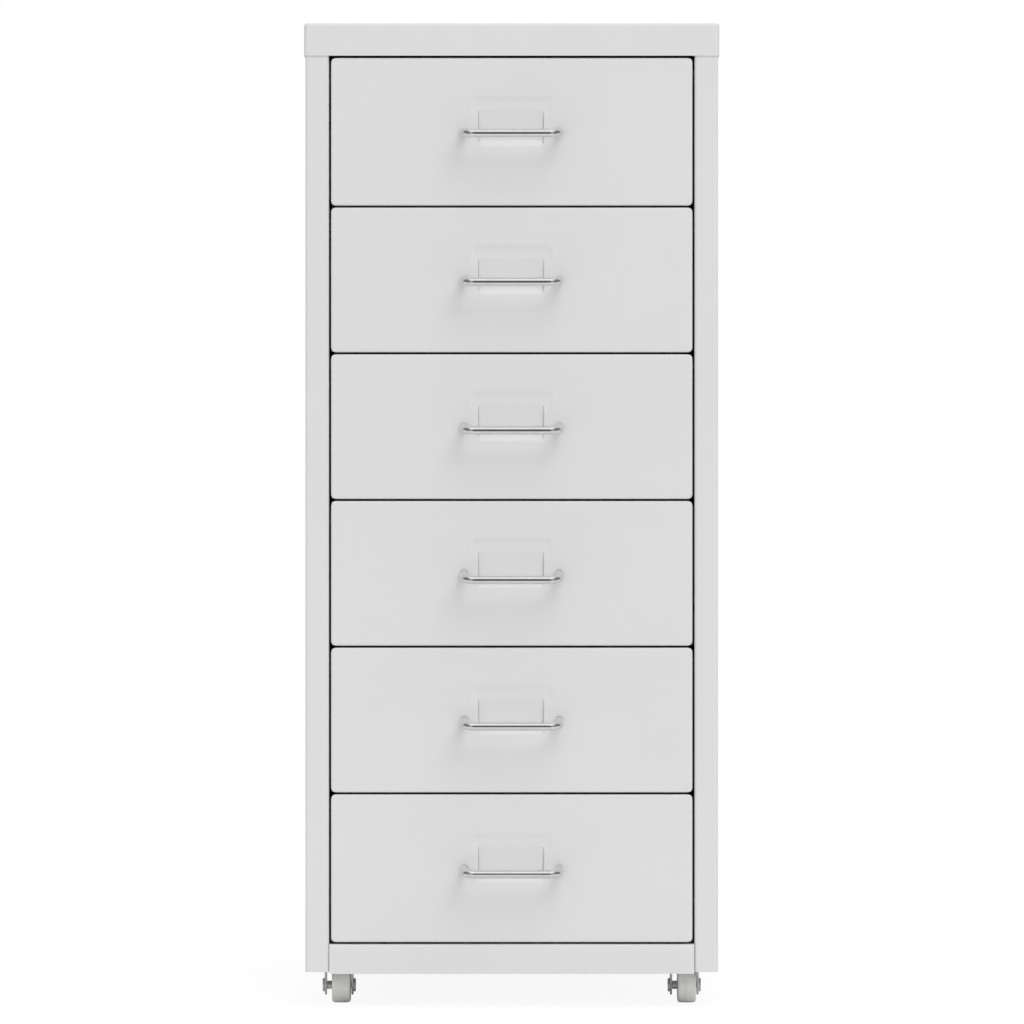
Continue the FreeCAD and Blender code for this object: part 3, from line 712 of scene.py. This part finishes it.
def make_floor():
    """A plain white floor that keeps a light shadow."""
    mesh = bmesh.new()
    mesh.faces.new([mesh.verts.new((x, y, 0)) for x, y in (
        (-FLOOR_REACH, FLOOR_FRONT), (FLOOR_REACH, FLOOR_FRONT),
        (FLOOR_REACH, FLOOR_REACH), (-FLOOR_REACH, FLOOR_REACH))])
    data = bpy.data.meshes.new("floor")
    mesh.to_mesh(data)
    mesh.free()
    floor = bpy.data.objects.new("floor", data)
    bpy.context.scene.collection.objects.link(floor)
    material = bpy.data.materials.new("floor_white")
    material.use_nodes = True
    nodes = Nodes(material.node_tree)
    matt = nodes.add("ShaderNodeBsdfDiffuse", ((FLOOR_GREY, FLOOR_GREY, FLOOR_GREY, 1),))
    glow = nodes.add("ShaderNodeEmission", ((1, 1, 1, 1), FLOOR_WHITE))
    paths = nodes.add("ShaderNodeLightPath")
    lift = nodes.maths("MULTIPLY", paths.outputs["Is Camera Ray"], FLOOR_LIFT)
    mixed = nodes.add("ShaderNodeMixShader", (lift, matt.outputs[0], glow.outputs[0]))
    nodes.add("ShaderNodeOutputMaterial", (mixed.outputs[0],))
    data.materials.append(material)


def make_world():
    """Even studio light, a white backdrop, and in reflections the darker room behind the camera."""
    world = bpy.data.worlds.new("studio")
    bpy.context.scene.world = world
    world.use_nodes = True
    nodes = Nodes(world.node_tree)
    paths = nodes.add("ShaderNodeLightPath")
    place = nodes.add("ShaderNodeTexCoord")
    split = nodes.add("ShaderNodeSeparateXYZ", (place.outputs["Generated"],))
    high = nodes.add("ShaderNodeMapRange", (split.outputs["Z"], 0.0, 1.0, SKY_LOW, SKY_HIGH))
    over = nodes.maths("GREATER_THAN", split.outputs["Z"], 0.0)
    sky = nodes.add("ShaderNodeMix", (over, None, GROUND, high.outputs[0]))
    forward = nodes.maths("MULTIPLY", split.outputs["Y"], -1.0)
    ahead = nodes.add("ShaderNodeMapRange", (forward, DARK_START, DARK_END, 1.0, 0.0))
    sideways = nodes.maths("ABSOLUTE", split.outputs["X"], None)
    beside = nodes.add("ShaderNodeMapRange", (sideways, SIDE_START, SIDE_END, 1.0, SIDE_REST))
    above = nodes.add("ShaderNodeMapRange", (split.outputs["Z"], TOP_START, 1.0, 1.0, TOP_REST))
    lit = nodes.maths("MULTIPLY", ahead.outputs[0], beside.outputs[0])
    lit = nodes.maths("MULTIPLY", lit, above.outputs[0])
    room = nodes.add("ShaderNodeMapRange", (lit, 0.0, 1.0, GLOSS_DARK, GLOSS_BRIGHT))
    glossy = paths.outputs["Is Glossy Ray"]
    shown = nodes.add("ShaderNodeMix", (glossy, None, sky.outputs[0], room.outputs[0]))
    clear = nodes.maths("ADD", paths.outputs["Is Camera Ray"], paths.outputs["Is Transmission Ray"])
    level = nodes.add("ShaderNodeMix", (clear, None, shown.outputs[0], 1.0))
    light = nodes.add("ShaderNodeBackground", ((1, 1, 1, 1), level.outputs[0]))
    nodes.add("ShaderNodeOutputWorld", (light.outputs[0],))


def make_lamp(name, size, power, place, target):
    """An area lamp of a width and a height that looks at a target from a place beside it."""
    data = bpy.data.lights.new(name, "AREA")
    data.shape = "RECTANGLE"
    data.size, data.size_y = size
    data.energy = power
    lamp = bpy.data.objects.new(name, data)
    lamp.location = target + Vector(place)
    lamp.rotation_mode = "QUATERNION"
    lamp.rotation_quaternion = (-Vector(place)).to_track_quat("-Z", "Y")
    bpy.context.scene.collection.objects.link(lamp)
    return lamp


def make_lamps(middle):
    """A large soft key from the upper right, and a wide low fill that reaches the castors."""
    key = make_lamp("key", (KEY_SIZE, KEY_SIZE), KEY_POWER, KEY_PLACE, middle)
    key.visible_glossy = False
    low = Vector((middle.x, middle.y, FILL_SIZE[1] / 2))
    fill = make_lamp("fill", FILL_SIZE, FILL_POWER, (0, -FILL_DISTANCE, 0), low)
    fill.visible_glossy = False


def make_camera(face):
    """Straight at the front, half way up, as far off as the photograph's perspective says."""
    data = bpy.data.cameras.new("camera")
    camera = bpy.data.objects.new("camera", data)
    data.sensor_width = SENSOR
    data.lens = SENSOR * CAMERA_DISTANCE / VIEW_WIDTH
    camera.location = (VIEW_CENTRE_X, face - CAMERA_DISTANCE, VIEW_CENTRE_Z)
    camera.rotation_euler = (math.pi / 2, 0, 0)
    bpy.context.scene.collection.objects.link(camera)
    bpy.context.scene.camera = camera


dress_nodes()
for number in DRAWERS:
    make_front(number)
    make_handle(number)
for place_name in CASTORS:
    make_wheel(place_name)
    soften_edges("castor_" + place_name + "_fork", FORK_EDGE)
    soften_edges("castor_" + place_name + "_axle", AXLE_EDGE)

front_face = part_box("drawer_3_front")[0].y
make_floor()
make_world()
make_lamps(Vector((0, front_face, (cad_box[0].z + cad_box[1].z) / 2)))
make_camera(front_face)
bpy.context.scene.view_settings.view_transform = "Standard"
